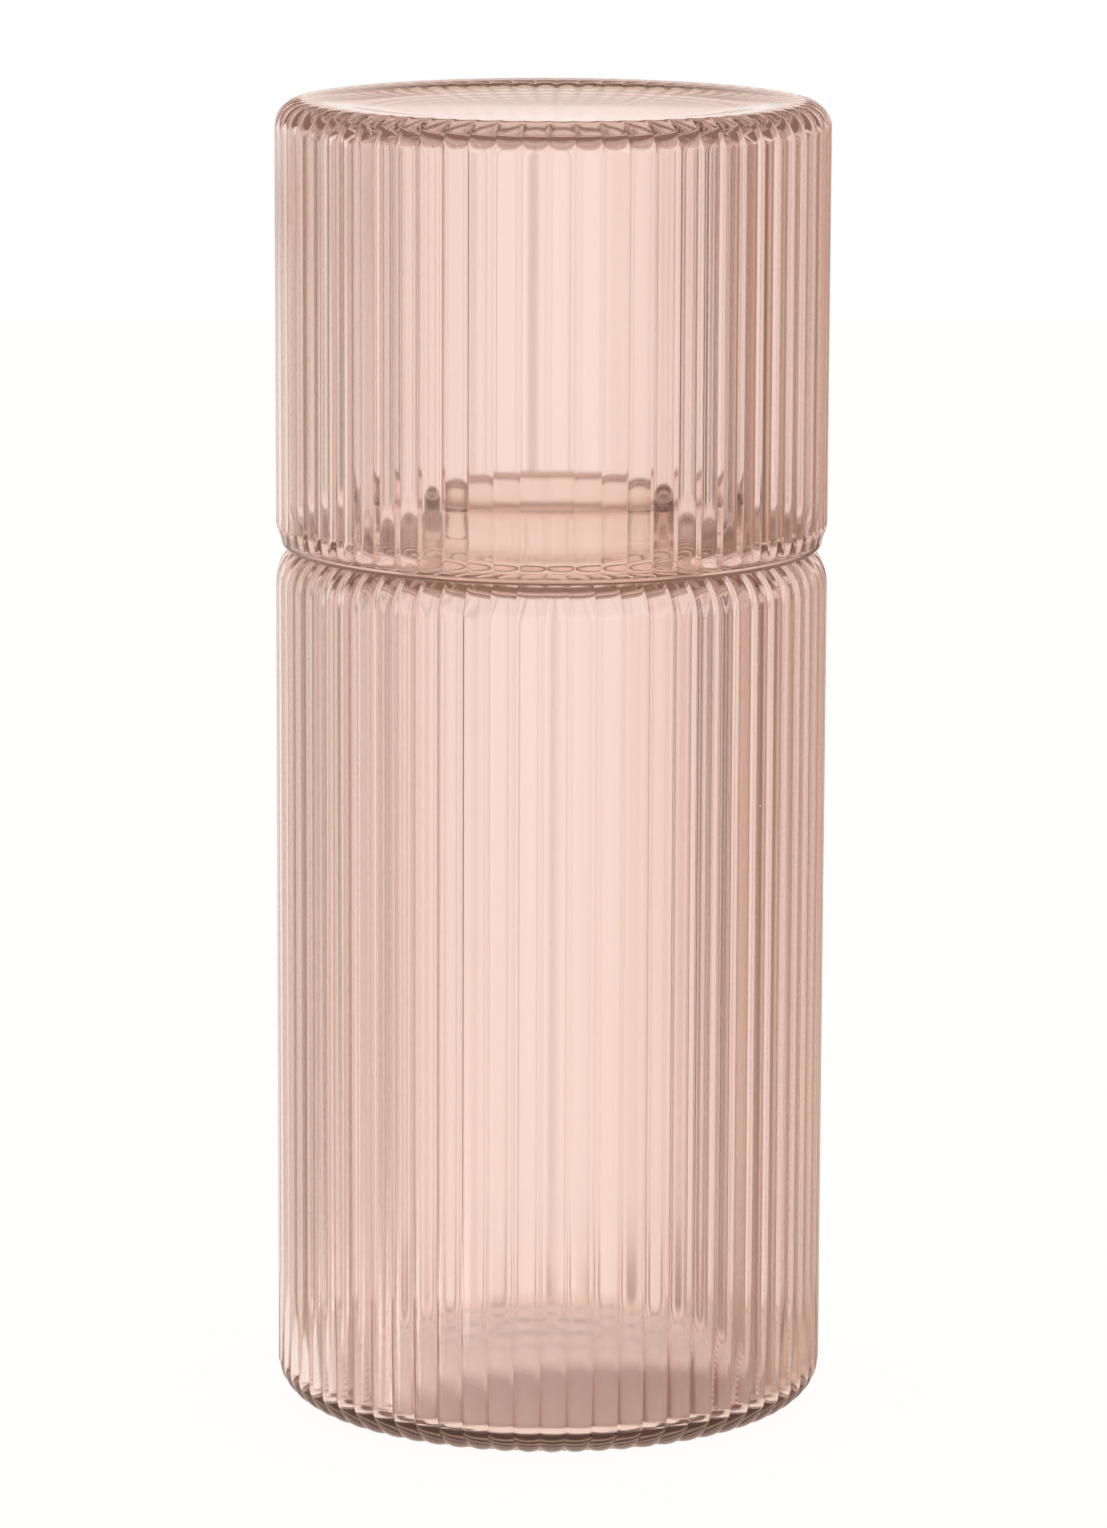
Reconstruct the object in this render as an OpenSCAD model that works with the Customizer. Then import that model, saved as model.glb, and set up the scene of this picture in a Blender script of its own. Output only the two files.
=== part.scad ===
// Bedside carafe with its tumbler, both of reeded glass.
// The tumbler stands upside down over the carafe's short mouth and rests on its shoulder.
// The origin is the middle of the base, on the table, with +Z up the axis.

/* [Both pieces] */
// Outer diameter over the crests of the reeds
body_diameter = 90; // [80:1:110]
// Number of reeds round each piece
reed_count = 66; // [48:1:72]
// Depth of the grooves between the reeds
groove_depth = 0.6; // [0.4:0.1:0.7]

/* [Carafe] */
// Height of the mouth's rim above the table
carafe_height = 150.8; // [120:0.1:190]
// Height of the mouth's rim above the top of the straight wall
shoulder_height = 14.6; // [14:0.1:18]
// Radius of the bend from the wall into the shoulder
shoulder_radius = 7; // [6:0.5:8]
// Slope of the shoulder inside the bend, in degrees above the horizontal
shoulder_slope = 5; // [3:1:12]
// Radius of the hollow bend from the shoulder into the neck
neck_radius = 1.5; // [1:0.5:3]
// Outer diameter of the neck
neck_diameter = 49; // [42:1:54]
// Thickness of the glass at the mouth
mouth_wall = 2.6; // [1.6:0.1:4]
// Thickness of the carafe's wall, measured from the crests
carafe_wall = 3; // [2:0.1:4]
// Thickness of the carafe's base
carafe_base = 4; // [3.5:0.5:10]
// Radius of the outer bottom edge
foot_radius = 6; // [3:0.5:8]
// Radius of the bend from the inner wall into the inner floor
carafe_floor_radius = 4; // [3:0.5:12]
// Diameter of the hollow under the base
carafe_punt_diameter = 72; // [40:1:74]
// Depth of the hollow under the base
carafe_punt_depth = 1.2; // [0.5:0.1:2]

/* [Tumbler] */
// Height of the tumbler from its rim to its base
tumbler_height = 72.6; // [50:0.1:95]
// Thickness of the tumbler's round rim
rim_wall = 2.4; // [1.8:0.1:3]
// How far the rim stands inside the crests of the reeds
rim_inset = 0.8; // [0.8:0.1:1.2]
// Height over which the wall widens from the rim to the crests
rim_flare = 3; // [2:0.5:6]
// Thickness of the tumbler's base
tumbler_base = 3.5; // [3:0.5:9]
// Radius of the outer edge of the base
heel_radius = 4.5; // [3:0.5:8]
// Radius of the bend from the inner wall into the inner floor
tumbler_floor_radius = 2.5; // [2:0.5:10]
// Diameter of the hollow in the base
tumbler_punt_diameter = 78; // [40:1:79]
// Depth of the hollow in the base
tumbler_punt_depth = 1; // [0.5:0.1:2]
// Gap left between the tumbler's rim and the carafe's shoulder
seat_gap = 0.3; // [0.2:0.05:0.5]

/* [Hidden] */

// Smoothness of the round forms and of one reed, and how far a cut runs past its face
round_fn = 144;
reed_fn = 48;
overrun = 1;

// Angle of each piece's first crest, as the two pieces happen to stand
carafe_turn = 3.7;
tumbler_turn = 4.6;

// The revolved outline stands this far outside the crests, so that it rounds only the ends
outline_clear = 0.12;

// The side of a hollow in a base runs in this many times as far as it rises
punt_run_share = 4;

body_radius = body_diameter / 2;
outline_radius = body_radius + outline_clear;

// One reed is an arc that rises from the two groove lines beside it to its crest
groove_radius = body_radius - groove_depth;
reed_half_width = groove_radius * sin(180 / reed_count);
reed_rise = body_radius - groove_radius * cos(180 / reed_count);
reed_radius = (pow(reed_half_width, 2) + pow(reed_rise, 2)) / (2 * reed_rise);

// The carafe's places, from its wall's top over the shoulder's bend and slope to the neck
wall_top = carafe_height - shoulder_height;
bend_centre = body_radius - shoulder_radius;
bend_radius = shoulder_radius + outline_clear;
bend_end = 90 - shoulder_slope;
slope_r = bend_centre + bend_radius * cos(bend_end);
slope_z = wall_top + bend_radius * sin(bend_end);
neck_outer = neck_diameter / 2;
mouth_radius = neck_outer - mouth_wall;
hollow_centre = neck_outer + neck_radius;
neck_r = hollow_centre - neck_radius * sin(shoulder_slope);
neck_z = slope_z + (slope_r - neck_r) * tan(shoulder_slope);
hollow_z = neck_z + neck_radius * cos(shoulder_slope);

// The same bend and slope on the inside, a wall's thickness further in
room_bend = shoulder_radius - carafe_wall;
room_slope_r = bend_centre + room_bend * cos(bend_end);
room_slope_z = wall_top + room_bend * sin(bend_end);
room_neck_z = room_slope_z + (room_slope_r - mouth_radius) * tan(shoulder_slope);

// The tumbler's places: its round rim lies on the round bend of the shoulder, a gap apart
rim_radius = rim_wall / 2;
rim_outer = body_radius - rim_inset;
rim_inner = rim_outer - rim_wall;
rim_centre = rim_outer - rim_radius;
rim_reach = bend_radius + seat_gap + rim_radius;
rim_z = wall_top + sqrt(pow(rim_reach, 2) - pow(rim_centre - bend_centre, 2));
tumbler_top = rim_z - rim_radius + tumbler_height;

// The outline of all the reeds, drawn out between two heights as a solid block
module reeded_block(low, high, turn) {
  rotate([0, 0, turn]) translate([0, 0, low]) linear_extrude(high - low) {
    circle(body_radius - reed_radius, $fn = round_fn);
    for (i = [0 : reed_count - 1])
      rotate(360 * i / reed_count)
        translate([body_radius - reed_radius, 0]) circle(reed_radius, $fn = reed_fn);
  }
}

// The outlines from here to the neck are half sections, from the axis outwards.

// A round block between two heights, with its lower or upper edge rounded
module block_outline(r, low, high, edge, lower) {
  edge_z = lower ? low + edge : high - edge;
  translate([0, lower ? edge_z : low]) square([r, high - low - edge]);
  translate([0, low]) square([r - edge, high - low]);
  intersection() {
    translate([r - edge, edge_z]) circle(edge, $fn = round_fn);
    translate([0, low]) square([r, high - low]);
  }
}

// The part of the shoulder's bend that lies above the wall's top
module bend_outline(radius) {
  intersection() {
    translate([bend_centre, wall_top]) circle(radius, $fn = round_fn);
    translate([0, wall_top]) square([outline_radius, shoulder_height]);
  }
}

// The shallow hollow in a base, which opens at face_z and has its flat floor at floor_z
module punt_outline(diameter, face_z, floor_z) {
  depth = abs(face_z - floor_z);
  beyond_z = face_z + sign(face_z - floor_z) * overrun;
  edge_r = diameter / 2;
  polygon([[0, floor_z], [edge_r - punt_run_share * depth, floor_z],
           [edge_r, face_z], [edge_r, beyond_z], [0, beyond_z]]);
}

// The carafe's outside: foot, wall, shoulder bend, sloping shoulder and hollow into the neck
module carafe_outline() {
  block_outline(outline_radius, 0, wall_top, foot_radius, true);
  bend_outline(bend_radius);
  polygon([[0, wall_top], [bend_centre, wall_top], [slope_r, slope_z], [neck_r, neck_z],
           [0, neck_z]]);
  difference() {
    translate([0, neck_z]) square([neck_r, hollow_z - neck_z]);
    translate([hollow_centre, hollow_z]) circle(neck_radius, $fn = round_fn);
  }
}

// The room inside the carafe, up through its mouth
module carafe_room_outline() {
  block_outline(body_radius - carafe_wall, carafe_base, wall_top, carafe_floor_radius, true);
  bend_outline(room_bend);
  polygon([[0, wall_top], [bend_centre, wall_top], [room_slope_r, room_slope_z],
           [mouth_radius, room_neck_z], [0, room_neck_z]]);
  translate([0, room_neck_z]) square([mouth_radius, carafe_height + overrun - room_neck_z]);
}

// The neck's wall with its round lip
module neck_outline() {
  lip = mouth_wall / 2;
  translate([mouth_radius, room_neck_z]) square([mouth_wall, carafe_height - lip - room_neck_z]);
  translate([mouth_radius + lip, carafe_height - lip]) circle(lip, $fn = round_fn);
}

module carafe() {
  color([0.9, 0.72, 0.66, 0.6]) intersection() {
    reeded_block(-overrun, carafe_height + overrun, carafe_turn);
    rotate_extrude($fn = round_fn) {
      difference() {
        carafe_outline();
        carafe_room_outline();
        punt_outline(carafe_punt_diameter, 0, carafe_punt_depth);
      }
      neck_outline();
    }
  }
}

// The tumbler's outside: the wall widens from the rim to the crests and rounds at the base
module tumbler_outline() {
  polygon([[0, rim_z], [rim_outer, rim_z], [outline_radius, rim_z + rim_flare],
           [0, rim_z + rim_flare]]);
  block_outline(outline_radius, rim_z + rim_flare, tumbler_top, heel_radius, false);
}

module tumbler() {
  color([0.93, 0.76, 0.7, 0.6]) intersection() {
    reeded_block(rim_z - rim_radius - overrun, tumbler_top + overrun, tumbler_turn);
    rotate_extrude($fn = round_fn) {
      difference() {
        tumbler_outline();
        block_outline(rim_inner, rim_z - overrun, tumbler_top - tumbler_base,
                      tumbler_floor_radius, false);
        punt_outline(tumbler_punt_diameter, tumbler_top, tumbler_top - tumbler_punt_depth);
      }
      translate([rim_centre, rim_z]) circle(rim_radius, $fn = round_fn);
    }
  }
}

carafe();
tumbler();
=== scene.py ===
# %% [markdown]
# # A reeded glass carafe with its tumbler
# The object is two pieces of rose-tinted glass: a straight carafe with a short wide mouth, and a
# tumbler of the same width that stands upside down over the mouth. This lesson loads the fixed
# frame, builds both walls with Geometry Nodes, gives them a tinted glass, and lights them on a
# plain white studio floor.

# %% Load the frame
from math import cos, pi, radians, sin, sqrt, tan

import bmesh
import bpy
from mathutils import Matrix, Vector


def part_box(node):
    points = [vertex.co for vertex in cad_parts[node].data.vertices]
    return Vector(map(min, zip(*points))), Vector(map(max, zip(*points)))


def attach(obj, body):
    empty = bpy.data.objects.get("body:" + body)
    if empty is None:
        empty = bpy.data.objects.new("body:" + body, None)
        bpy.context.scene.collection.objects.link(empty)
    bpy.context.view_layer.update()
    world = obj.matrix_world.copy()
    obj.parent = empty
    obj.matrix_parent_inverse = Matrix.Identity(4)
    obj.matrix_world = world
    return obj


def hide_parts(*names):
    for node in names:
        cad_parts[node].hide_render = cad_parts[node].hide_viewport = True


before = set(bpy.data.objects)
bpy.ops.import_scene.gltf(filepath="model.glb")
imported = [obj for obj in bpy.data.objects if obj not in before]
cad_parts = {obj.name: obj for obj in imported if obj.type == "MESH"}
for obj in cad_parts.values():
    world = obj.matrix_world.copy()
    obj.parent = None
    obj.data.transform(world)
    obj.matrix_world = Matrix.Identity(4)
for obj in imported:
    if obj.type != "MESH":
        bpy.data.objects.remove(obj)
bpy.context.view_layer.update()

# %% [markdown]
# ## The camera
# The photograph is a product shot through a long lens from a little above. Its camera was worked
# out from the object's outline: how wide the piece is at each height, and how round its top and
# bottom look. The camera comes first, so that every later step can be judged through it.

# %% Place the camera
MM = 0.001
PHOTO_HEIGHT_PX = 1528
SENSOR_MM = 36
FOCAL_PX = 6698
CAMERA_DISTANCE = 1.1
CAMERA_TILT = 0.186
CAMERA_ROLL = -0.004
NEAREST_SEEN = 0.05
AIM = Vector((0.476 * MM, 0, 105.5 * MM))


def place_camera():
    """A camera that looks along +Y and down by the tilt, turned a little about its own axis."""
    data = bpy.data.cameras.new("photo_camera")
    data.sensor_width = SENSOR_MM
    data.lens = FOCAL_PX / PHOTO_HEIGHT_PX * SENSOR_MM
    data.clip_start = NEAREST_SEEN
    camera = bpy.data.objects.new("photo_camera", data)
    bpy.context.collection.objects.link(camera)
    back = Vector((0, -cos(CAMERA_TILT), sin(CAMERA_TILT)))
    level_right = Vector((1, 0, 0))
    level_up = back.cross(level_right)
    right = cos(CAMERA_ROLL) * level_right - sin(CAMERA_ROLL) * level_up
    up = back.cross(right)
    turn = Matrix((right, up, back)).transposed().to_4x4()
    camera.matrix_world = Matrix.Translation(AIM + CAMERA_DISTANCE * back) @ turn
    bpy.context.scene.camera = camera
    return camera


camera = place_camera()
print("camera at", [round(v, 4) for v in camera.location], "lens", round(camera.data.lens, 1), "mm")

# %% [markdown]
# ## Sizes of the glass
# Each piece is a body of revolution with reeds pressed into its wall, so all that it needs is half
# a section. The sizes below are the real ones in millimetres. The heights come from the frame, so
# the glass always fits the solids that it stands for. The radius is the one over the crests of the
# reeds. The frame's box is a hair narrower, because no crest points exactly along an axis.
#
# The inner wall's depth is below zero: the wall is pushed in behind each groove, so it follows the
# reeds, and each reed is only a weak lens.

# %% Sizes that drive both sections
REEDS = 66
BODY_RADIUS = 45.0
GROOVE_DEPTH = 0.33
INNER_DEPTH = -0.23
END_DEPTH = 0.62
ROUNDNESS = 0.68
SHARPNESS = 4.5
CARAFE_TURN = radians(1.0)
TUMBLER_TURN = radians(1.9)

carafe_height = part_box("carafe")[1][2] / MM
tumbler_low, tumbler_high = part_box("tumbler")
tumbler_rim = tumbler_low[2] / MM
tumbler_top = tumbler_high[2] / MM
print("mouth at", round(carafe_height, 1), "mm, tumbler from", round(tumbler_rim, 1), "to",
      round(tumbler_top, 1), "mm")

# %% [markdown]
# ## A half section drawn as stations
# A station is a point of the section with its outward normal and the depth of the groove there.
# Straight stretches need two stations, and bends get one every few degrees. Writing bends as arcs
# keeps the list short and lets a radius be changed in one place. Where two stretches meet, the
# next one starts a small gap further on, so no two stations fall together.

# %% Helpers that draw a section
STATION_GAP = 0.5


def bend(centre, radius, start, end, groove=(0, 0), steps=8, hollow=False):
    """Stations along an arc, in degrees. A hollow arc has its normals towards its centre."""
    side = -1 if hollow else 1
    stations = []
    for i in range(steps + 1):
        share = i / steps
        angle = radians(start + (end - start) * share)
        stations.append((
            centre[0] + side * radius * cos(angle),
            centre[1] + side * radius * sin(angle),
            cos(angle),
            sin(angle),
            groove[0] + (groove[1] - groove[0]) * share,
        ))
    return stations


def line(start, end, normal, groove=(0, 0), steps=1):
    """Stations along a straight stretch, with its normal as an angle in degrees."""
    angle = radians(normal)
    return [
        (
            start[0] + (end[0] - start[0]) * i / steps,
            start[1] + (end[1] - start[1]) * i / steps,
            cos(angle),
            sin(angle),
            groove[0] + (groove[1] - groove[0]) * i / steps,
        )
        for i in range(steps + 1)
    ]


def blended(start, end, start_slope, end_slope, steps, groove=(0, 0), turned=1):
    """Stations along a smooth curve that leaves and arrives in given directions, in degrees."""
    gap = sqrt((end[0] - start[0]) ** 2 + (end[1] - start[1]) ** 2)
    leave = (gap * cos(radians(start_slope)), gap * sin(radians(start_slope)))
    arrive = (gap * cos(radians(end_slope)), gap * sin(radians(end_slope)))
    stations = []
    for i in range(steps + 1):
        t = i / steps
        spot = []
        pace = []
        for a, b, p, q in zip(start, end, leave, arrive):
            spot.append((2 * t ** 3 - 3 * t ** 2 + 1) * a + (t ** 3 - 2 * t ** 2 + t) * p
                        + (3 * t ** 2 - 2 * t ** 3) * b + (t ** 3 - t ** 2) * q)
            pace.append((6 * t ** 2 - 6 * t) * (a - b) + (3 * t ** 2 - 4 * t + 1) * p
                        + (3 * t ** 2 - 2 * t) * q)
        length = sqrt(pace[0] ** 2 + pace[1] ** 2)
        stations.append((spot[0], spot[1], turned * pace[1] / length, -turned * pace[0] / length,
                         groove[0] + (groove[1] - groove[0]) * t))
    return stations


print("the middle of a quarter turn:", [round(v, 2) for v in bend((0, 0), 1, 0, 90, steps=2)[1]])

# %% [markdown]
# ## The carafe's section
# From the middle of the hollow under the base it runs out over the foot, up the reeded wall, round
# the shoulder and over the round lip, then back down the inside to the floor. Towards the foot the
# grooves get deeper and the inner wall gets smooth, so the front reeds stand out against the base
# as they do in the photograph. The hollow is a very shallow dome, because a steeper slope would
# show as a dark ring in the base.

# %% Sizes of the carafe
WALL_TOP = 136.2
SHOULDER_RADIUS = 7.0
SHOULDER_SLOPE = 5
NECK_RADIUS = 1.5
NECK_OUTER = 24.5
MOUTH_WALL = 2.6
CARAFE_WALL = 3.0
CARAFE_BASE = 4.0
FOOT_RADIUS = 6.0
PUNT_RADIUS = 36.0
PUNT_DEPTH = 0.4
PUNT_FLAT_RADIUS = 2.0
CARAFE_BOWL = 1.6
DEEPER_BELOW = 20.0

# Each stretch of the foot's bend: first and last angle, groove depth at its start, steps
FOOT_STRETCHES = ((-90, -78, 0, 4), (-72, -36, END_DEPTH, 5), (-29, 0, END_DEPTH, 5))

# The shoulder's slope runs straight between its bend and the hollow bend into the neck
slope_angle = 90 - SHOULDER_SLOPE
shoulder_centre = BODY_RADIUS - SHOULDER_RADIUS
slope_r = shoulder_centre + SHOULDER_RADIUS * cos(radians(slope_angle))
slope_z = WALL_TOP + SHOULDER_RADIUS * sin(radians(slope_angle))
hollow_r = NECK_OUTER + NECK_RADIUS
neck_r = hollow_r - NECK_RADIUS * cos(radians(slope_angle))
neck_z = slope_z + (slope_r - neck_r) * tan(radians(SHOULDER_SLOPE))
hollow_z = neck_z + NECK_RADIUS * sin(radians(slope_angle))
print("shoulder's slope from z", round(slope_z, 2), "to z", round(neck_z, 2), "mm")

# %% [markdown]
# The outside and the inside are drawn apart and joined at the mouth.

# %% Draw the carafe's section


def carafe_outside():
    """Stations from the axis below, over the foot, wall, shoulder and neck, round the lip."""
    lip = MOUTH_WALL / 2
    foot = []
    for start, end, first_depth, steps in FOOT_STRETCHES:
        foot += bend((BODY_RADIUS - FOOT_RADIUS, FOOT_RADIUS), FOOT_RADIUS, start, end,
                     (first_depth, END_DEPTH), steps)
    return (
        [(0, PUNT_DEPTH, 0, -1, 0)]
        + blended((PUNT_FLAT_RADIUS, PUNT_DEPTH), (PUNT_RADIUS, 0), 0, 0, steps=1)
        + foot
        + line((BODY_RADIUS, FOOT_RADIUS + STATION_GAP), (BODY_RADIUS, DEEPER_BELOW), 0,
               (END_DEPTH, GROOVE_DEPTH), steps=4)
        + line((BODY_RADIUS, DEEPER_BELOW + STATION_GAP), (BODY_RADIUS, WALL_TOP - STATION_GAP), 0,
               (GROOVE_DEPTH, GROOVE_DEPTH))
        + bend((shoulder_centre, WALL_TOP), SHOULDER_RADIUS, 0, slope_angle,
               (GROOVE_DEPTH, GROOVE_DEPTH), steps=9)
        + line((slope_r - STATION_GAP, slope_z + STATION_GAP * tan(radians(SHOULDER_SLOPE))),
               (neck_r, neck_z), slope_angle, (GROOVE_DEPTH, 0), steps=3)
        + bend((hollow_r, hollow_z), NECK_RADIUS, slope_angle, 0, steps=5, hollow=True)
        + bend((NECK_OUTER - lip, carafe_height - lip), lip, 0, 180, steps=9)
    )


def carafe_inside():
    """Stations from the mouth down the inner wall to the axis inside.

    The bend under the shoulder has its normals into the glass, so its depth has the other sign.
    """
    inner_wall = BODY_RADIUS - CARAFE_WALL
    return (
        bend((hollow_r, hollow_z), hollow_r - (NECK_OUTER - MOUTH_WALL), 180, 180 + slope_angle,
             steps=6)
        + bend((shoulder_centre, WALL_TOP), SHOULDER_RADIUS - CARAFE_WALL, slope_angle, 0,
               (0, -INNER_DEPTH), steps=5)
        + line((inner_wall, WALL_TOP - STATION_GAP), (inner_wall, DEEPER_BELOW + STATION_GAP), 180,
               (INNER_DEPTH, INNER_DEPTH))
        + line((inner_wall, DEEPER_BELOW), (inner_wall, CARAFE_BASE + CARAFE_BOWL + STATION_GAP),
               180, (INNER_DEPTH, 0), steps=4)
        + blended((inner_wall, CARAFE_BASE + CARAFE_BOWL), (inner_wall - CARAFE_BOWL, CARAFE_BASE),
                  -90, 180, steps=16)
        + [(0, CARAFE_BASE, 0, 1, 0)]
    )


carafe_stations = carafe_outside() + carafe_inside()
print("carafe section has", len(carafe_stations), "stations")

# %% [markdown]
# ## The tumbler's section
# The tumbler stands on its mouth. Its round rim is smooth to drink from, the reeds start just above
# it and curl over the edge of the base, and the base has a shallow hollow.

# %% Draw the tumbler's section
RIM_WALL = 2.4
RIM_INSET = 0.8
RIM_FLARE = 3.0
TUMBLER_BASE = 3.0
HEEL_RADIUS = 4.5
TUMBLER_BOWL = 1.8
DISH_RADIUS = 39.0
DISH_FLAT = 27.0
DISH_DEPTH = 1.0

# Each stretch of the heel's bend: first and last angle, groove depth at its start and end
HEEL_STRETCHES = (
    (90, 66, 0, END_DEPTH), (60, 30, END_DEPTH, END_DEPTH), (24, 0, END_DEPTH, GROOVE_DEPTH),
)


def tumbler_section():
    """Stations of the tumbler, from the axis on top to the axis inside."""
    rim = RIM_WALL / 2
    rim_outer = BODY_RADIUS - RIM_INSET
    rim_inner = rim_outer - RIM_WALL
    rim_z = tumbler_rim + rim
    flare_z = rim_z + RIM_FLARE
    inner_top = tumbler_top - TUMBLER_BASE
    heel_z = tumbler_top - HEEL_RADIUS
    dish_z = tumbler_top - DISH_DEPTH
    heel = []
    for start, end, first_depth, last_depth in HEEL_STRETCHES:
        heel += bend((BODY_RADIUS - HEEL_RADIUS, heel_z), HEEL_RADIUS, start, end,
                     (first_depth, last_depth), steps=4)
    return (
        [(0, dish_z, 0, 1, 0)]
        + blended((DISH_FLAT, dish_z), (DISH_RADIUS, tumbler_top), 0, 0, steps=8, turned=-1)
        + heel
        + line((BODY_RADIUS, heel_z - STATION_GAP), (BODY_RADIUS, flare_z + STATION_GAP), 0,
               (GROOVE_DEPTH, GROOVE_DEPTH))
        + blended((BODY_RADIUS, flare_z), (rim_outer, rim_z), -90, -90, steps=8,
                  groove=(GROOVE_DEPTH, 0), turned=-1)
        + bend((rim_outer - rim, rim_z), rim, 0, -180, steps=12)
        + line((rim_inner, rim_z + STATION_GAP), (rim_inner, flare_z), 180, (0, INNER_DEPTH),
               steps=4)
        + line((rim_inner, flare_z + STATION_GAP),
               (rim_inner, inner_top - TUMBLER_BOWL - STATION_GAP), 180,
               (INNER_DEPTH, INNER_DEPTH))
        + blended((rim_inner, inner_top - TUMBLER_BOWL), (rim_inner - TUMBLER_BOWL, inner_top),
                  90, 180, steps=10, groove=(INNER_DEPTH, 0), turned=-1)
        + [(0, inner_top, 0, -1, 0)]
    )


tumbler_stations = tumbler_section()
print("tumbler section has", len(tumbler_stations), "stations")

# %% [markdown]
# ## Helpers for node trees
# Sixty-six reeds that follow a section are a rule, and a node tree is the plain way to write a
# rule. These helpers add one node each and return what it gives, so that a sum in the tree reads
# like a sum in the script.

# %% Helpers that lay out a node tree


def link_value(tree, socket, value):
    """Joins a node's output to a socket, or sets the socket where the value is a plain one."""
    if isinstance(value, bpy.types.NodeSocket):
        tree.links.new(value, socket)
    else:
        socket.default_value = value


def math_node(tree, operation, *values):
    """One Math node, with its result."""
    node = tree.nodes.new("ShaderNodeMath")
    node.operation = operation
    for socket, value in zip(node.inputs, values):
        link_value(tree, socket, value)
    return node.outputs[0]


def sample_station(tree, profile, data_type, value, index):
    """Reads a value of the section at one station."""
    node = tree.nodes.new("GeometryNodeSampleIndex")
    node.data_type = data_type
    node.domain = "POINT"
    tree.links.new(profile, node.inputs["Geometry"])
    link_value(tree, node.inputs["Value"], value)
    link_value(tree, node.inputs["Index"], index)
    return node.outputs["Value"]


def named_attribute(tree, name, data_type):
    """Reads an attribute by its name."""
    node = tree.nodes.new("GeometryNodeInputNamedAttribute")
    node.data_type = data_type
    node.inputs["Name"].default_value = name
    return node.outputs["Attribute"]


# %% [markdown]
# ## Where each point of the grid belongs
# A grid is wrapped round the axis: one direction walks along the stations, the other round the
# piece. A point's column says how far through its reed it is, from one groove to the next. The
# sine bunches the columns up near the grooves, because that is where the glass bends light most.
# Its size is 0 on the crest and 1 in the groove, and it also gives the reed's shape: mostly a
# round crest, with a sharper share that only counts close to the groove.

# %% Helpers for the columns and the reed's shape
# The slack keeps a whole number whole when it is rounded down
ROUNDING_SLACK = 0.0001
CREST_PLACE = 0.5


def reed_shape(tree, given, column):
    """The angle of a column round the axis, and its share of the groove's depth."""
    reed_place = math_node(tree, "DIVIDE", column, given.outputs["Columns per reed"])
    reed = math_node(tree, "FLOOR", math_node(tree, "ADD", reed_place, ROUNDING_SLACK))
    in_reed = math_node(tree, "SUBTRACT", reed_place, reed)
    side = math_node(tree, "SINE", math_node(tree, "MULTIPLY",
                                             math_node(tree, "SUBTRACT", in_reed, CREST_PLACE), pi))
    warped = math_node(tree, "ADD", reed, math_node(tree, "MULTIPLY_ADD", side, 0.5, 0.5))
    off_crest = math_node(tree, "ABSOLUTE", side)
    crest = math_node(tree, "MULTIPLY", math_node(tree, "MULTIPLY", off_crest, off_crest),
                      given.outputs["Roundness"])
    notch = math_node(tree, "MULTIPLY",
                      math_node(tree, "POWER", off_crest, given.outputs["Sharpness"]),
                      math_node(tree, "SUBTRACT", 1, given.outputs["Roundness"]))
    turn = math_node(tree, "DIVIDE", warped, given.outputs["Reeds"])
    angle = math_node(tree, "MULTIPLY_ADD", turn, 2 * pi, given.outputs["Turn"])
    return angle, math_node(tree, "ADD", crest, notch)


def pulled_in(tree, section, index, share):
    """A station's point, moved against its normal by the share of its groove's depth."""
    place = tree.nodes.new("GeometryNodeInputPosition")
    point = sample_station(tree, section, "FLOAT_VECTOR", place.outputs[0], index)
    normal = sample_station(tree, section, "FLOAT_VECTOR",
                            named_attribute(tree, "outward", "FLOAT_VECTOR"), index)
    depth = sample_station(tree, section, "FLOAT", named_attribute(tree, "groove", "FLOAT"), index)
    pull = tree.nodes.new("ShaderNodeVectorMath")
    pull.operation = "SCALE"
    tree.links.new(normal, pull.inputs[0])
    tree.links.new(math_node(tree, "MULTIPLY", depth, share), pull.inputs["Scale"])
    moved = tree.nodes.new("ShaderNodeVectorMath")
    moved.operation = "SUBTRACT"
    tree.links.new(point, moved.inputs[0])
    tree.links.new(pull.outputs[0], moved.inputs[1])
    return moved.outputs[0]


def wrapped_round(tree, flat_point, angle):
    """A point of the section's plane, turned round the axis by an angle."""
    flat = tree.nodes.new("ShaderNodeSeparateXYZ")
    tree.links.new(flat_point, flat.inputs[0])
    radius = flat.outputs["X"]
    wrapped = tree.nodes.new("ShaderNodeCombineXYZ")
    tree.links.new(math_node(tree, "MULTIPLY", radius, math_node(tree, "COSINE", angle)),
                   wrapped.inputs["X"])
    tree.links.new(math_node(tree, "MULTIPLY", radius, math_node(tree, "SINE", angle)),
                   wrapped.inputs["Y"])
    tree.links.new(flat.outputs["Z"], wrapped.inputs["Z"])
    return wrapped.outputs[0]


# %% [markdown]
# ## The reeding tree
# The tree lays out the grid, moves its points, welds the seam and the two ends on the axis, and
# paints the shell. Its inputs have names, so that both pieces can use it with their own values.

# %% Build the reeding tree
# The grid reaches this far each way from its middle
HALF_GRID = 0.5


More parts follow.
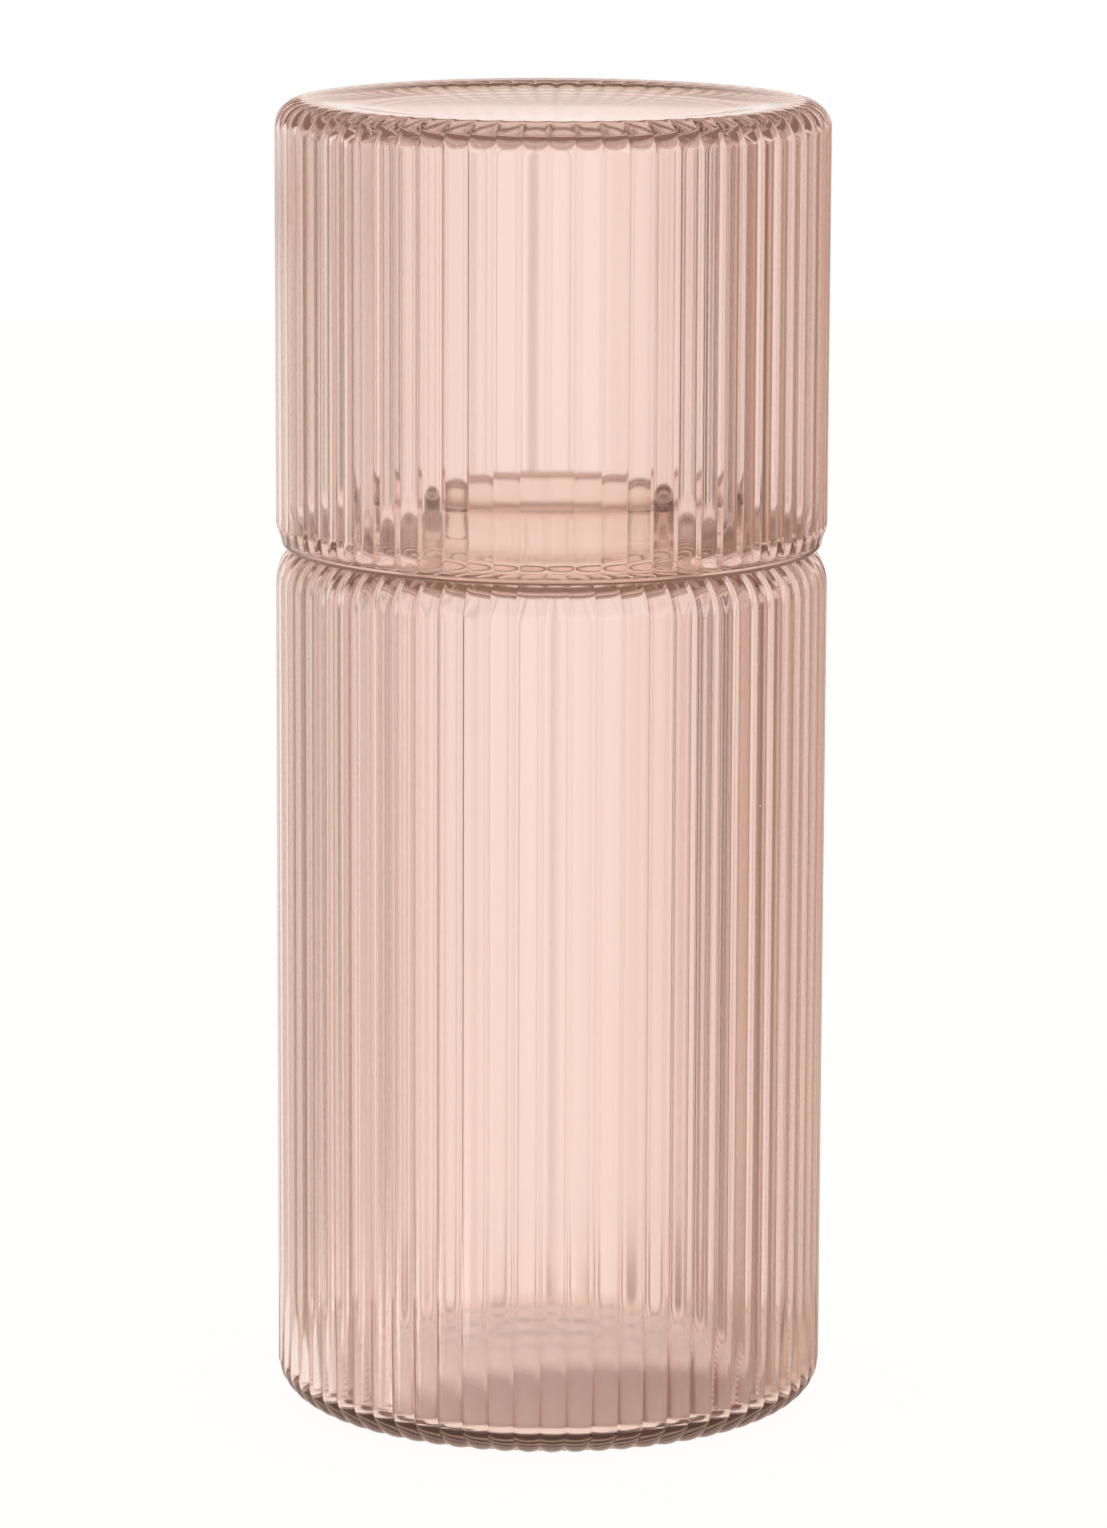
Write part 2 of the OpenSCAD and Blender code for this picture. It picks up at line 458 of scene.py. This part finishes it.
def reeding_tree():
    """Wraps a section with its normals and groove depths into a closed reeded shell."""
    tree = bpy.data.node_groups.new("reeded_shell", "GeometryNodeTree")
    sockets = tree.interface
    sockets.new_socket("Section", in_out="INPUT", socket_type="NodeSocketGeometry")
    for name, kind in (("Reeds", "NodeSocketInt"), ("Columns per reed", "NodeSocketInt"),
                       ("Turn", "NodeSocketFloat"), ("Roundness", "NodeSocketFloat"),
                       ("Sharpness", "NodeSocketFloat"), ("Weld", "NodeSocketFloat"),
                       ("Glass", "NodeSocketMaterial")):
        sockets.new_socket(name, in_out="INPUT", socket_type=kind)
    sockets.new_socket("Shell", in_out="OUTPUT", socket_type="NodeSocketGeometry")
    given = tree.nodes.new("NodeGroupInput")
    result = tree.nodes.new("NodeGroupOutput")
    section = given.outputs["Section"]

    size = tree.nodes.new("GeometryNodeAttributeDomainSize")
    tree.links.new(section, size.inputs[0])
    stations = size.outputs["Point Count"]
    columns = math_node(tree, "MULTIPLY", given.outputs["Reeds"], given.outputs["Columns per reed"])
    grid = tree.nodes.new("GeometryNodeMeshGrid")
    grid.inputs["Size X"].default_value = 2 * HALF_GRID
    grid.inputs["Size Y"].default_value = 2 * HALF_GRID
    tree.links.new(stations, grid.inputs["Vertices X"])
    tree.links.new(math_node(tree, "ADD", columns, 1), grid.inputs["Vertices Y"])

    place = tree.nodes.new("GeometryNodeInputPosition")
    across = tree.nodes.new("ShaderNodeSeparateXYZ")
    tree.links.new(place.outputs[0], across.inputs[0])
    along = math_node(tree, "ADD", across.outputs["X"], HALF_GRID)
    around = math_node(tree, "ADD", across.outputs["Y"], HALF_GRID)
    last = math_node(tree, "SUBTRACT", stations, 1)
    index = math_node(tree, "ROUND", math_node(tree, "MULTIPLY", along, last))
    column = math_node(tree, "ROUND", math_node(tree, "MULTIPLY", around, columns))
    angle, share = reed_shape(tree, given, column)

    wrap = tree.nodes.new("GeometryNodeSetPosition")
    tree.links.new(grid.outputs["Mesh"], wrap.inputs["Geometry"])
    tree.links.new(wrapped_round(tree, pulled_in(tree, section, index, share), angle),
                   wrap.inputs["Position"])
    weld = tree.nodes.new("GeometryNodeMergeByDistance")
    tree.links.new(wrap.outputs[0], weld.inputs["Geometry"])
    tree.links.new(given.outputs["Weld"], weld.inputs["Distance"])
    smooth = tree.nodes.new("GeometryNodeSetShadeSmooth")
    tree.links.new(weld.outputs[0], smooth.inputs["Geometry"])
    real = tree.nodes.new("GeometryNodeRealizeInstances")
    tree.links.new(smooth.outputs[0], real.inputs[0])
    painted = tree.nodes.new("GeometryNodeSetMaterial")
    tree.links.new(real.outputs[0], painted.inputs["Geometry"])
    tree.links.new(given.outputs["Glass"], painted.inputs["Material"])
    tree.links.new(painted.outputs[0], result.inputs["Shell"])
    return tree


shell_tree = reeding_tree()
print("reeding tree has", len(shell_tree.nodes), "nodes")

# %% [markdown]
# ## Rose-tinted glass
# The photograph's glass is nearly as deeply tinted in its thin wall as in its base. So most of the
# colour sits on the shader's own Base Color, which every pass through a surface multiplies by, and
# the absorption in the volume adds the deeper brown where light runs a long way inside. A slight
# roughness keeps the far wall soft. Faint waves and a few small seeds finish the surface.

# %% Make the glass
GLASS_IOR = 1.5
GLASS_ROUGHNESS = 0.075
SURFACE_TINT = (0.965, 0.877, 0.840, 1)
TINT = (0.60, 0.36, 0.21, 1)
TINT_DENSITY = 10.0
WAVES_PER_M = 60
WAVE_DETAIL = 1
WAVE_STRENGTH = 0.03
WAVE_HEIGHT = 0.5
SEED_CELLS_PER_M = 45
SEED_RADIUS = 0.4


def rose_glass(name):
    """Clear, slightly soft glass with a tint on its surface and a deeper one in its volume."""
    material = bpy.data.materials.new(name)
    material.use_nodes = True
    tree = material.node_tree
    shader = tree.nodes["Principled BSDF"]
    shader.inputs["Base Color"].default_value = SURFACE_TINT
    shader.inputs["Transmission Weight"].default_value = 1
    shader.inputs["IOR"].default_value = GLASS_IOR
    shader.inputs["Roughness"].default_value = GLASS_ROUGHNESS
    place = tree.nodes.new("ShaderNodeTexCoord")
    waves = tree.nodes.new("ShaderNodeTexNoise")
    waves.inputs["Scale"].default_value = WAVES_PER_M
    waves.inputs["Detail"].default_value = WAVE_DETAIL
    tree.links.new(place.outputs["Object"], waves.inputs["Vector"])
    wavy = tree.nodes.new("ShaderNodeBump")
    wavy.inputs["Strength"].default_value = WAVE_STRENGTH
    wavy.inputs["Distance"].default_value = WAVE_HEIGHT * MM
    tree.links.new(waves.outputs["Fac"], wavy.inputs["Height"])
    cells = tree.nodes.new("ShaderNodeTexVoronoi")
    cells.inputs["Scale"].default_value = SEED_CELLS_PER_M
    tree.links.new(place.outputs["Object"], cells.inputs["Vector"])
    seeds = tree.nodes.new("ShaderNodeMapRange")
    tree.links.new(cells.outputs["Distance"], seeds.inputs["Value"])
    seeds.inputs["From Max"].default_value = SEED_RADIUS * MM * SEED_CELLS_PER_M
    pits = tree.nodes.new("ShaderNodeBump")
    pits.inputs["Distance"].default_value = SEED_RADIUS * MM
    tree.links.new(seeds.outputs[0], pits.inputs["Height"])
    tree.links.new(wavy.outputs["Normal"], pits.inputs["Normal"])
    tree.links.new(pits.outputs["Normal"], shader.inputs["Normal"])
    volume = tree.nodes.new("ShaderNodeVolumeAbsorption")
    volume.inputs["Color"].default_value = TINT
    volume.inputs["Density"].default_value = TINT_DENSITY
    tree.links.new(volume.outputs[0], tree.nodes["Material Output"].inputs["Volume"])
    return material


carafe_glass = rose_glass("carafe_rose_glass")
tumbler_glass = rose_glass("tumbler_rose_glass")
print("glass made:", carafe_glass.name, "and", tumbler_glass.name)

# %% [markdown]
# ## Wrap each section into its glass
# The section goes in as a chain of points that carry their normals and groove depths. The tree is
# put on as a modifier, its inputs are set by their identifiers, and the evaluated result becomes a
# plain mesh. A shell that lets light through has to be closed, with its faces outwards, so the
# open edges are counted and the volume is measured.

# %% Turn a section into a finished shell
COLUMNS_PER_REED = 16
WELD = 0.002
CM3_PER_M3 = 1e6


def section_mesh(name, stations):
    """The section as a chain of points, in metres, with the values that the tree reads.

    A new attribute can move the ones before it in memory, so each is filled before the next.
    """
    mesh = bpy.data.meshes.new(name)
    mesh.from_pydata([(s[0] * MM, 0, s[1] * MM) for s in stations],
                     [(i, i + 1) for i in range(len(stations) - 1)], [])
    outward = mesh.attributes.new("outward", "FLOAT_VECTOR", "POINT")
    for i, (_, _, normal_r, normal_z, _) in enumerate(stations):
        outward.data[i].vector = (normal_r, 0, normal_z)
    groove = mesh.attributes.new("groove", "FLOAT", "POINT")
    for i, (_, _, _, _, depth) in enumerate(stations):
        groove.data[i].value = depth * MM
    return mesh


def set_input(modifier, name, value):
    """Sets a modifier's input by the identifier of the socket with this name."""
    for item in modifier.node_group.interface.items_tree:
        if item.item_type == "SOCKET" and item.in_out == "INPUT" and item.name == name:
            modifier[item.identifier] = value
            return


def recalculate_outwards(mesh):
    """Points every face of a closed mesh outwards, and prints how closed and how large it is."""
    work = bmesh.new()
    work.from_mesh(mesh)
    bmesh.ops.recalc_face_normals(work, faces=work.faces)
    open_edges = [edge for edge in work.edges if not edge.is_manifold]
    volume = work.calc_volume(signed=True) * CM3_PER_M3
    print(mesh.name, "has", len(open_edges), "open edges and holds", round(volume, 1), "cm3")
    work.to_mesh(mesh)
    work.free()


def shell(name, stations, turn, glass):
    """A closed reeded shell with its faces outwards."""
    maker = bpy.data.objects.new(name + "_section", section_mesh(name + "_section", stations))
    bpy.context.collection.objects.link(maker)
    modifier = maker.modifiers.new("reeds", "NODES")
    modifier.node_group = shell_tree
    set_input(modifier, "Reeds", REEDS)
    set_input(modifier, "Columns per reed", COLUMNS_PER_REED)
    set_input(modifier, "Turn", turn)
    set_input(modifier, "Roundness", ROUNDNESS)
    set_input(modifier, "Sharpness", SHARPNESS)
    set_input(modifier, "Weld", WELD * MM)
    set_input(modifier, "Glass", glass)
    ready = maker.evaluated_get(bpy.context.evaluated_depsgraph_get())
    mesh = bpy.data.meshes.new_from_object(ready)
    mesh.name = name
    bpy.data.objects.remove(maker)
    recalculate_outwards(mesh)
    piece = bpy.data.objects.new(name, mesh)
    bpy.context.collection.objects.link(piece)
    print(name, "has", len(mesh.polygons), "faces")
    return piece


# %% [markdown]
# Each shell rides on its body, so it moves with the joint, and stands in for the CAD solid.

# %% Make both pieces
carafe = shell("carafe_shell", carafe_stations, CARAFE_TURN, carafe_glass)
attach(carafe, "carafe")
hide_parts("carafe")

tumbler = shell("tumbler_shell", tumbler_stations, TUMBLER_TURN, tumbler_glass)
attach(tumbler, "tumbler")
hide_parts("tumbler")

# %% [markdown]
# ## How far light may go
# A look through both pieces crosses eight surfaces, and light that is caught in a base is turned
# back many times, so the paths are allowed to be long. The Standard view keeps white paper white.

# %% Set the path lengths and the view
MOST_TURNS = 32
MOST_SHINE_TURNS = 16

bounces = bpy.context.scene.cycles
bounces.max_bounces = MOST_TURNS
bounces.transmission_bounces = MOST_TURNS
bounces.glossy_bounces = MOST_SHINE_TURNS
bounces.transparent_max_bounces = MOST_SHINE_TURNS
bpy.context.scene.view_settings.view_transform = "Standard"
print("light turns up to", bounces.max_bounces, "times")

# %% [markdown]
# ## Helpers for the studio's shaders
# The studio answers two kinds of question. The camera, a reflection and the glass look at it
# sharply, and soft light only gathers from it. Blends by height and by distance say where a
# colour of the studio begins and ends.

# %% Helpers that blend colours and ask about rays
# A Mix node keeps its share at socket 0, its numbers at 2 and 3, and its colours at 6 and 7
SHARE_SOCKET = 0
NUMBER_SOCKETS = (2, 3)
COLOUR_SOCKETS = (6, 7)
MIXED_COLOUR = 2


def blend_colours(tree, share, first, second):
    """Mixes two colours by a share between 0 and 1."""
    node = tree.nodes.new("ShaderNodeMix")
    node.data_type = "RGBA"
    link_value(tree, node.inputs[SHARE_SOCKET], share)
    link_value(tree, node.inputs[COLOUR_SOCKETS[0]], first)
    link_value(tree, node.inputs[COLOUR_SOCKETS[1]], second)
    return node.outputs[MIXED_COLOUR]


def ramp_between(tree, value, start, full, lowest=0):
    """A Map Range node that goes from the lowest value at one reading to 1 at another."""
    node = tree.nodes.new("ShaderNodeMapRange")
    tree.links.new(value, node.inputs["Value"])
    node.inputs["From Min"].default_value = start
    node.inputs["From Max"].default_value = full
    node.inputs["To Min"].default_value = lowest
    return node


def between_heights(tree, rise, start, full):
    """0 at one elevation and 1 at another, in degrees, for the rise of a direction."""
    return ramp_between(tree, rise, sin(radians(start)), sin(radians(full))).outputs[0]


def near_value(tree, value, middle, reach):
    """1 where a value is at the middle, falling to 0 at this reach from it."""
    off = math_node(tree, "ABSOLUTE", math_node(tree, "SUBTRACT", value, middle))
    node = ramp_between(tree, off, reach, 0)
    node.interpolation_type = "SMOOTHSTEP"
    return node.outputs[0]


def sharp_ray(tree):
    """1 for what the camera, a reflection or the glass looks at, and 0 for soft light."""
    path = tree.nodes.new("ShaderNodeLightPath")
    return math_node(tree, "MAXIMUM", path.outputs["Is Camera Ray"],
                     math_node(tree, "MAXIMUM", path.outputs["Is Glossy Ray"],
                               path.outputs["Is Transmission Ray"]))


# %% [markdown]
# ## The floor
# The background is plain white, so the floor is mostly a white glow to the camera
# and is clear to rays that come through the glass. The rest is a matt paint, which keeps the
# object's real shadow, and its brown colour is a painted shadow tone. Through the base more of that
# paint shows, in a round patch towards the camera that stops short of the foot's ring: a painted
# shadow, which deepens the real one and gives the brown tone low in the base.

# %% Make the floor
FLOOR_RADIUS_M = 1.5
FLOOR_SIDES = 96
FLOOR_DROP = 0.2
# The floor's paint: its brown colour is a painted shadow tone, seen through the base
FLOOR_PAINT_AND_SHADOW_TONE = (1.0, 0.55, 0.36, 1)
FLOOR_GLOW = 1.07
SEEN_SHARE = 0.9
# The round painted shadow patch seen through the base, and the foot's ring that it stops short of
SEEN_SHARE_IN_SHADOW_PATCH = 0.48
SHADOW_PATCH_MIDDLE = (12 * MM, -34 * MM, 0)
SHADOW_PATCH_REACH = (34 * MM, 43 * MM)
RING_REACH = (36 * MM, 38.5 * MM)


def floor_disc():
    """A wide flat disc, a hair under the foot."""
    step = 2 * pi / FLOOR_SIDES
    corners = [(FLOOR_RADIUS_M * cos(step * i), FLOOR_RADIUS_M * sin(step * i), 0)
               for i in range(FLOOR_SIDES)]
    mesh = bpy.data.meshes.new("studio_floor")
    mesh.from_pydata(corners, [], [tuple(range(FLOOR_SIDES))])
    floor = bpy.data.objects.new("studio_floor", mesh)
    floor.location.z = -FLOOR_DROP * MM
    bpy.context.collection.objects.link(floor)
    return floor


def glow_share(tree, is_camera):
    """How much of the floor is glow or clear, not paint, per ray, with a painted shadow patch."""
    place = tree.nodes.new("ShaderNodeTexCoord")
    from_shadow_patch = tree.nodes.new("ShaderNodeVectorMath")
    from_shadow_patch.operation = "DISTANCE"
    tree.links.new(place.outputs["Object"], from_shadow_patch.inputs[0])
    from_shadow_patch.inputs[1].default_value = SHADOW_PATCH_MIDDLE
    from_axis = tree.nodes.new("ShaderNodeVectorMath")
    from_axis.operation = "LENGTH"
    tree.links.new(place.outputs["Object"], from_axis.inputs[0])
    # A round painted shadow under the base: through the glass more of the paint in real shadow shows
    shadow_patch = ramp_between(tree, from_shadow_patch.outputs["Value"], *SHADOW_PATCH_REACH, SEEN_SHARE_IN_SHADOW_PATCH)
    ring = ramp_between(tree, from_axis.outputs["Value"], *RING_REACH)
    seen = tree.nodes.new("ShaderNodeMix")
    tree.links.new(is_camera, seen.inputs[SHARE_SOCKET])
    tree.links.new(math_node(tree, "MAXIMUM", shadow_patch.outputs[0], ring.outputs[0]),
                   seen.inputs[NUMBER_SOCKETS[0]])
    seen.inputs[NUMBER_SOCKETS[1]].default_value = SEEN_SHARE
    return math_node(tree, "MULTIPLY", sharp_ray(tree), seen.outputs[0])


def floor_material():
    """White to the camera, clear to the glass, and a warm paint that takes the real shadow; its warm
    colour is a painted shadow tone.
    """
    material = bpy.data.materials.new("studio_floor_white")
    material.use_nodes = True
    tree = material.node_tree
    tree.nodes.clear()
    # The paint's brown colour is a painted shadow tone; the shadow that falls on it is real
    paint = tree.nodes.new("ShaderNodeBsdfDiffuse")
    paint.inputs["Color"].default_value = FLOOR_PAINT_AND_SHADOW_TONE
    white = tree.nodes.new("ShaderNodeEmission")
    white.inputs["Strength"].default_value = FLOOR_GLOW
    clear = tree.nodes.new("ShaderNodeBsdfTransparent")
    path = tree.nodes.new("ShaderNodeLightPath")
    is_camera = path.outputs["Is Camera Ray"]
    looked_at = tree.nodes.new("ShaderNodeMixShader")
    tree.links.new(is_camera, looked_at.inputs[0])
    tree.links.new(clear.outputs[0], looked_at.inputs[1])
    tree.links.new(white.outputs[0], looked_at.inputs[2])
    mix = tree.nodes.new("ShaderNodeMixShader")
    tree.links.new(glow_share(tree, is_camera), mix.inputs[0])
    tree.links.new(paint.outputs[0], mix.inputs[1])
    tree.links.new(looked_at.outputs[0], mix.inputs[2])
    out = tree.nodes.new("ShaderNodeOutputMaterial")
    tree.links.new(mix.outputs[0], out.inputs["Surface"])
    return material


floor = floor_disc()
floor.data.materials.append(floor_material())
print("floor is", round(2 * FLOOR_RADIUS_M, 1), "m across at z", round(floor.location.z / MM, 2), "mm")

# %% [markdown]
# ## The walls of the studio
# Glass has hardly a look of its own: its stripes are the studio, bent by the reeds. So the walls
# carry a row of greys round the object, bright straight behind it, dark in a band on each side,
# and middling elsewhere. The darker a grey, the warmer it is, as the photograph's stripes are.
# Headings run in degrees from straight behind the object, positive to the right.

# %% Greys of the walls
STUDIO_SHADES = (
    (-180, 0.90), (-110, 0.90), (-70, 0.82), (-50, 1.04), (-34, 1.06), (-26, 0.24), (-19, 1.02),
    (-9, 1.06), (-4, 1.08), (0, 1.13), (4, 1.08), (8, 1.05), (15, 0.96), (20, 0.12), (28, 0.08),
    (36, 0.76), (50, 0.58), (70, 0.22), (110, 0.40), (180, 0.88),
)
WARMTH = (1.0, 0.62, 0.47)
WARMED_BELOW = 1.08
WARMED_WITHIN = 0.4
GLASS_WHITE = (1.0, 0.95, 0.925)


def warmed(shade):
    """A grey of the studio, warmer the darker it is."""
    depth = min(1, max(0, (WARMED_BELOW - shade) / WARMED_WITHIN))
    return tuple(shade * white * (1 - (1 - warm) * depth)
                 for warm, white in zip(WARMTH, GLASS_WHITE)) + (1,)


def wall_colours(tree, heading):
    """The studio's greys by heading."""
    ramp = tree.nodes.new("ShaderNodeValToRGB")
    tree.links.new(math_node(tree, "MULTIPLY_ADD", heading, 0.5 / pi, 0.5), ramp.inputs[0])
    stops = ramp.color_ramp.elements
    made = len(stops)
    for i, (heading_degrees, shade) in enumerate(STUDIO_SHADES):
        spot = heading_degrees / 360 + 0.5
        stop = stops[i] if i < made else stops.new(spot)
        stop.position = spot
        stop.color = warmed(shade)
    return ramp.outputs[0]


print("brightest wall", [round(c, 2) for c in warmed(max(shade for _, shade in STUDIO_SHADES))])

# %% [markdown]
# ## Ceiling, panels and underside
# Above the walls comes a pink ceiling, and above it dark rafters, which give the brown band under
# the tumbler's base. A few small panels set the tones that are seen down through the base and the
# shoulder, and one bright panel far to the left gives the thin lights at the lower left.

# %% Colours above and below the walls
CEILING = (1.0, 0.80, 0.73, 1)
CEILING_START = 3
CEILING_FULL = 5
RAFTERS = (0.26, 0.15, 0.11, 1)
RAFTERS_START = 9
RAFTERS_FULL = 17
UNDERSIDE = (0.98, 0.80, 0.70, 1)
UNDERSIDE_START = -9
UNDERSIDE_FULL = -50
SOFT_LIGHT = (0.75, 0.75, 0.75, 1)
WHITE = (1, 1, 1, 1)

# Each panel: heading and reach, elevation and reach, all in degrees, and its colour
PANELS = (
    (24, 14, -6.2, 1.1, (0.20, 0.10, 0.08, 1)),
    (-40, 26, -5.9, 0.7, (0.30, 0.19, 0.15, 1)),
    (38, 34, -15.2, 1.3, (0.30, 0.19, 0.15, 1)),
    (-106, 10, -15.4, 0.8, (14.0, 12.6, 12.0, 1)),
)


def studio_colours(tree):
    """What the glass sees of the studio in each direction."""
    place = tree.nodes.new("ShaderNodeTexCoord")
    direction = tree.nodes.new("ShaderNodeSeparateXYZ")
    tree.links.new(place.outputs["Generated"], direction.inputs[0])
    heading = math_node(tree, "ARCTAN2", direction.outputs["X"], direction.outputs["Y"])
    rise = direction.outputs["Z"]
    walls = blend_colours(tree, between_heights(tree, rise, CEILING_START, CEILING_FULL),
                          wall_colours(tree, heading), CEILING)
    for heading_middle, heading_reach, rise_middle, rise_reach, colour in PANELS:
        here = math_node(tree, "MULTIPLY",
                         near_value(tree, heading, radians(heading_middle), radians(heading_reach)),
                         near_value(tree, rise, sin(radians(rise_middle)), radians(rise_reach)))
        walls = blend_colours(tree, here, walls, colour)
    roof = blend_colours(tree, between_heights(tree, rise, RAFTERS_START, RAFTERS_FULL),
                         walls, RAFTERS)
    return blend_colours(tree, between_heights(tree, rise, UNDERSIDE_START, UNDERSIDE_FULL),
                         roof, UNDERSIDE)


def studio_world():
    """Plain white to the camera, the studio to the glass, and an even grey for soft light."""
    world = bpy.data.worlds.new("studio_world")
    world.use_nodes = True
    tree = world.node_tree
    tree.nodes.clear()
    path = tree.nodes.new("ShaderNodeLightPath")
    studio = tree.nodes.new("ShaderNodeBackground")
    tree.links.new(blend_colours(tree, path.outputs["Is Camera Ray"], studio_colours(tree), WHITE),
                   studio.inputs["Color"])
    soft = tree.nodes.new("ShaderNodeBackground")
    soft.inputs["Color"].default_value = SOFT_LIGHT
    mix = tree.nodes.new("ShaderNodeMixShader")
    tree.links.new(sharp_ray(tree), mix.inputs[0])
    tree.links.new(soft.outputs[0], mix.inputs[1])
    tree.links.new(studio.outputs[0], mix.inputs[2])
    out = tree.nodes.new("ShaderNodeOutputWorld")
    tree.links.new(mix.outputs[0], out.inputs["Surface"])
    return world


bpy.context.scene.world = studio_world()
print("world has", len(bpy.context.scene.world.node_tree.nodes), "nodes")
